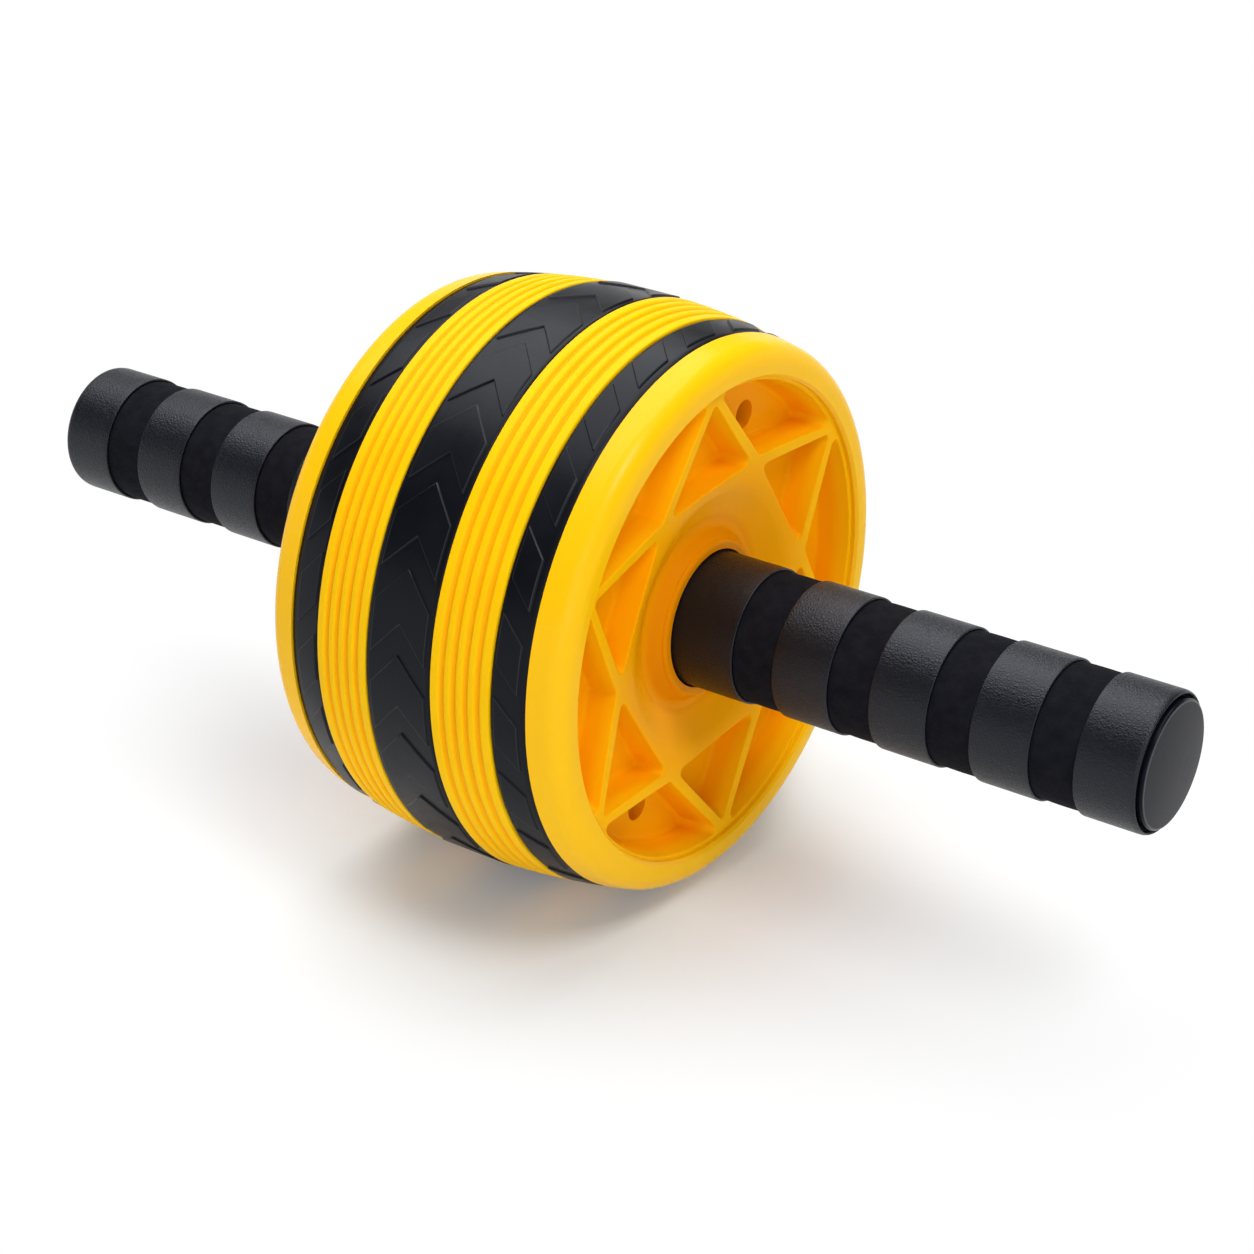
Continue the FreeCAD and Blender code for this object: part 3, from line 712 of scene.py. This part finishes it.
grip_radius = 19.0 * mm
first_ring_start = 35.2 * mm
ring_bond = 0.05 * mm
ring_edge_round = 0.35 * mm
ring_round_columns = 8
last_edge_round = 0.72 * mm
last_edge_reach = 1.8 * mm
last_round_columns = 10
ring_flat_columns = 9
ring_bond_columns = 6
pebble_size = 0.95 * mm
pebble_push_share = 0.5
pebble_crack_share = 0.35
skin_black = (0.0017, 0.0027, 0.0060)
skin_grey = (0.0027, 0.0040, 0.0078)
crack_black = (0.0015, 0.0024, 0.0054)
shade_size = 7.0 * mm
pebble_roughness = 0.30
crack_roughness = 0.44
skin_grain_size = 0.25 * mm
skin_grain_depth = 0.06 * mm
skin_gloss = 0.38


def ring_section(start, end, end_drop, end_reach):
    """Offsets and radii of a ring: flat, a small quarter round at its start and a given one at its end."""
    near_turn = np.linspace(0.0, math.pi / 2, ring_round_columns)
    far_turn = np.linspace(math.pi / 2, 0.0, last_round_columns)
    near = start + ring_edge_round * (1 - np.cos(near_turn))
    far = end - end_reach * (1 - np.cos(far_turn))
    offsets = np.concatenate([near, np.linspace(near[-1], far[0], ring_flat_columns)[1:-1], far])
    drop = rounded_shoulders(offsets - start, ring_edge_round)
    drop += rounded_shoulders(end - offsets, end_reach) * end_drop / end_reach
    bond = np.linspace(end, start, ring_bond_columns)
    across = np.concatenate([offsets, bond])
    return across, np.concatenate([grip_radius - drop, np.full_like(bond, sleeve_radius + ring_bond)])


def pebbles(tree, size):
    """Height of leather pebbles: distance from the cracks between cells whose places are pushed by noise."""
    place = tree.nodes.new("ShaderNodeTexCoord")
    push = tree.nodes.new("ShaderNodeTexNoise")
    push.inputs["Scale"].default_value = pebble_push_share / size
    shift = tree.nodes.new("ShaderNodeVectorMath")
    shift.operation = "MULTIPLY_ADD"
    shift.inputs[1].default_value = (size, size, size)
    cells = tree.nodes.new("ShaderNodeTexVoronoi")
    cells.feature = "DISTANCE_TO_EDGE"
    cells.inputs["Scale"].default_value = 1.0 / size
    tree.links.new(place.outputs["Object"], push.inputs["Vector"])
    tree.links.new(push.outputs["Color"], shift.inputs[0])
    tree.links.new(place.outputs["Object"], shift.inputs[2])
    tree.links.new(shift.outputs["Vector"], cells.inputs["Vector"])
    return between(tree, cells.outputs["Distance"], 0.0, 1.0, 0.0, pebble_crack_share)


def grained_skin():
    """Charcoal skin with a pebbled grain, duller in its cracks, and a soft sheen."""
    finish, tree, shader = new_finish("grained_skin")
    grain = pebbles(tree, pebble_size)
    shade = between(tree, noise(tree, shade_size), 0.0, 1.0)
    face = blended(tree, shade, skin_black, skin_grey)
    tree.links.new(blended(tree, grain, crack_black, face), shader.inputs["Base Color"])
    satin = between(tree, grain, crack_roughness, pebble_roughness, 0.0, 1.0)
    tree.links.new(satin, shader.inputs["Roughness"])
    fine_grain = noise(tree, skin_grain_size, fine_detail)
    relief(tree, shader, sum_of(tree, grain, fine_grain), skin_grain_depth)
    shader.inputs["Specular IOR Level"].default_value = skin_gloss
    shader.inputs["Specular Tint"].default_value = cool_shine
    return finish


skin = grained_skin()
ring_ends = first_ring_end + ring_pitch * np.arange(ring_count)
for number, end in enumerate(ring_ends, start=1):
    start = first_ring_start if number == 1 else end - ring_width
    last = number == ring_count
    drop, reach = (last_edge_round, last_edge_reach) if last else (ring_edge_round, ring_edge_round)
    ring_points = round_the_axle(*ring_section(start, end, drop, reach), full_turn(grip_segments))
    for side, points in (("right", ring_points), ("left", mirrored(ring_points))):
        ring_name = "grip_ring_" + side + "_" + str(number)
        add_piece(grid_mesh(ring_name + "_skin", points), skin, "handlebar", "grip_skin", ring_name)

# End caps
# Satin black plastic plugs with a slightly crowned, round-edged head.
# Each has a hollow shank that is pressed into the tube.

cap_face = 182.0 * mm
cap_radius = 17.2 * mm
cap_round = 0.8 * mm
cap_crown = 0.5 * mm
cap_round_columns = 12
cap_face_columns = 16
shank_radius = 10.45 * mm
shank_bore = 8.65 * mm
shank_end = 164.0 * mm
same_place = 0.001 * mm
cap_black = (0.0037, 0.0042, 0.0080)
cap_haze = (0.0056, 0.0062, 0.0102)
# A grey line on the round of the head is a painted highlight.
painted_highlight_grey = (0.10, 0.10, 0.11)
highlight_line_radius = 16.7 * mm
highlight_line_reach = 0.35 * mm
haze_size = 6.0 * mm
haze_detail = 4.0
cap_smoothest = 0.22
cap_roughest = 0.28
cap_grain_size = 0.35 * mm
cap_grain_depth = 0.004 * mm
cap_gloss = 0.07


def cap_section():
    """Offsets and radii from the back of the hollow shank, round its outside to the head's crowned face.

    The head's edge is a quarter circle, and its face falls with the square of the distance from the axis.
    """
    turn = np.linspace(0.0, math.pi / 2, cap_round_columns)
    rim_offsets = cap_face - cap_crown - cap_round * (1 - np.sin(turn))
    rim_radii = cap_radius - cap_round * (1 - np.cos(turn))
    face_radii = np.linspace(rim_radii[-1], 0.0, cap_face_columns)[1:]
    face_offsets = cap_face - cap_crown * np.square(face_radii / rim_radii[-1])
    stem = [(sleeve_end, 0.0), (sleeve_end, shank_bore), (shank_end, shank_bore), (shank_end, shank_radius),
            (sleeve_end, shank_radius), (sleeve_end, cap_radius)]
    stem_offsets, stem_radii = np.transpose(stem)
    offsets = np.concatenate([stem_offsets, rim_offsets, face_offsets])
    return offsets, np.concatenate([stem_radii, rim_radii, face_radii])


def close_poles(mesh):
    """Makes one point of the points that share a place, so that the rings on the axis end in fans."""
    work = bmesh.new()
    work.from_mesh(mesh)
    bmesh.ops.remove_doubles(work, verts=work.verts, dist=same_place)
    work.to_mesh(mesh)
    work.free()


def satin_plastic():
    """Satin black plastic with handling dullness and a painted highlight line along the round of the head."""
    finish, tree, shader = new_finish("satin_plastic")
    haze = between(tree, noise(tree, haze_size, haze_detail), 0.0, 1.0)
    reach = from_axle(tree)
    plain = blended(tree, haze, cap_black, cap_haze)
    # Painted highlight: a thin grey ring on the round of the head.
    inner = between(tree, reach, 0.0, 1.0, highlight_line_radius - highlight_line_reach, highlight_line_radius)
    outer = between(tree, reach, 0.0, 1.0, highlight_line_radius, highlight_line_radius + highlight_line_reach)
    with_highlight_line = blended(tree, inner, plain, painted_highlight_grey)
    tree.links.new(blended(tree, outer, with_highlight_line, plain), shader.inputs["Base Color"])
    satin = between(tree, haze, cap_smoothest, cap_roughest, 0.0, 1.0)
    tree.links.new(satin, shader.inputs["Roughness"])
    relief(tree, shader, noise(tree, cap_grain_size, fine_detail), cap_grain_depth)
    shader.inputs["Specular IOR Level"].default_value = cap_gloss
    shader.inputs["Specular Tint"].default_value = cool_shine
    return finish


cap_finish = satin_plastic()
cap_points = round_the_axle(*cap_section(), full_turn(grip_segments))
for side, points in (("right", cap_points), ("left", mirrored(cap_points))):
    cap_mesh = grid_mesh("end_cap_plug_" + side, points, closed_columns=False)
    close_poles(cap_mesh)
    add_piece(cap_mesh, cap_finish, "handlebar", "cap_plastic", "end_cap_" + side)

# Stage
# A white floor under the wheel that fades into a white wall below a dim sky, and the photograph's camera.
# The light is a large softbox overhead, a small key high on the right and a fill in front on the right.

floor_half = 3.0
floor_fade_start = 0.035
floor_fade_end = 0.26
floor_white = (0.905, 0.93, 0.945)
floor_roughness = 0.9
floor_gloss = 0.1
overhead_place = (-0.35, 0.25, 1.0)
overhead_side = 1.2
overhead_power = 14.5
key_place = (0.58, -0.22, 1.02)
key_side = 0.4
key_power = 5.0
fill_place = (0.9, -0.9, 0.45)
fill_side = 0.9
fill_power = 3.5
wall_strength = 1.0
wall_top_start = 0.205
wall_top_end = 0.235
sky_strength = 0.10
zenith_strength = 0.40
zenith_start = 0.55
zenith_end = 0.9
sky_white = (1.0, 1.0, 1.0, 1.0)
camera_azimuth = math.radians(35.07)
camera_elevation = math.radians(27.62)
camera_distance = 834.1 * mm
camera_target = Vector((15.52 * mm, 0.0, -11.13 * mm))
camera_lens = 86.12
camera_sensor = 36.0


def seen_share(tree):
    """1 for rays from the camera, off a gloss or through glass, and 0 for light that falls on the object."""
    path = tree.nodes.new("ShaderNodeLightPath")
    mirror_like = sum_of(tree, path.outputs["Is Glossy Ray"], path.outputs["Is Transmission Ray"])
    seen = sum_of(tree, path.outputs["Is Camera Ray"], mirror_like)
    seen.node.use_clamp = True
    return seen


def floor_finish():
    """White floor that takes shadows near the object and fades into the white background far from it."""
    finish, tree, shader = new_finish("studio_floor")
    shader.inputs["Base Color"].default_value = (*floor_white, 1.0)
    shader.inputs["Roughness"].default_value = floor_roughness
    shader.inputs["Specular IOR Level"].default_value = floor_gloss
    place = tree.nodes.new("ShaderNodeTexCoord")
    reach = tree.nodes.new("ShaderNodeVectorMath")
    reach.operation = "LENGTH"
    tree.links.new(place.outputs["Object"], reach.inputs[0])
    far = between(tree, reach.outputs["Value"], 0.0, 1.0, floor_fade_start, floor_fade_end)
    far.node.interpolation_type = "SMOOTHSTEP"
    far_and_seen = tree.nodes.new("ShaderNodeMath")
    far_and_seen.operation = "MULTIPLY"
    tree.links.new(far, far_and_seen.inputs[0])
    tree.links.new(seen_share(tree), far_and_seen.inputs[1])
    glow = tree.nodes.new("ShaderNodeEmission")
    mix = tree.nodes.new("ShaderNodeMixShader")
    tree.links.new(far_and_seen.outputs[0], mix.inputs[0])
    tree.links.new(shader.outputs[0], mix.inputs[1])
    tree.links.new(glow.outputs[0], mix.inputs[2])
    tree.links.new(mix.outputs[0], tree.nodes["Material Output"].inputs["Surface"])
    return finish


def add_light(name, place, side, power):
    """Square soft light at a place, aimed at the middle of the wheel."""
    lamp = bpy.data.lights.new(name, "AREA")
    lamp.shape = "SQUARE"
    lamp.size = side
    lamp.energy = power
    holder = bpy.data.objects.new(name, lamp)
    holder.location = place
    holder.rotation_euler = (-Vector(place)).to_track_quat("-Z", "Y").to_euler()
    bpy.context.scene.collection.objects.link(holder)


floor_corners = floor_half * np.array([[-1, -1, 0], [1, -1, 0], [1, 1, 0], [-1, 1, 0]], dtype=float)
floor_corners[:, 2] = cad_box[0][2]
floor_mesh = bpy.data.meshes.new("floor")
floor_mesh.from_pydata(floor_corners.tolist(), [], [(0, 1, 2, 3)])
floor_mesh.materials.append(floor_finish())
floor = bpy.data.objects.new("floor", floor_mesh)
bpy.context.scene.collection.objects.link(floor)

add_light("overhead_softbox", overhead_place, overhead_side, overhead_power)
add_light("right_key", key_place, key_side, key_power)
add_light("side_fill", fill_place, fill_side, fill_power)

world = bpy.data.worlds.new("white_room")
world.use_nodes = True
bpy.context.scene.world = world
room = world.node_tree
sky = room.nodes["Background"]
direction = room.nodes.new("ShaderNodeTexCoord")
split = room.nodes.new("ShaderNodeSeparateXYZ")
room.links.new(direction.outputs["Generated"], split.inputs[0])
height = split.outputs["Z"]
low_sky = between(room, height, wall_strength, sky_strength, wall_top_start, wall_top_end)
high_sky = between(room, height, 0.0, zenith_strength - sky_strength, zenith_start, zenith_end)
room.links.new(sum_of(room, low_sky, high_sky), sky.inputs["Strength"])
sky.inputs["Color"].default_value = sky_white

camera_back = Vector((
    math.sin(camera_azimuth) * math.cos(camera_elevation),
    -math.cos(camera_azimuth) * math.cos(camera_elevation),
    math.sin(camera_elevation),
))
lens = bpy.data.cameras.new("photo_camera")
lens.lens = camera_lens
lens.sensor_width = camera_sensor
camera = bpy.data.objects.new("photo_camera", lens)
camera.location = camera_target + camera_distance * camera_back
camera.rotation_euler = (-camera_back).to_track_quat("-Z", "Y").to_euler()
bpy.context.scene.collection.objects.link(camera)
bpy.context.scene.camera = camera
bpy.context.scene.view_settings.view_transform = "Standard"
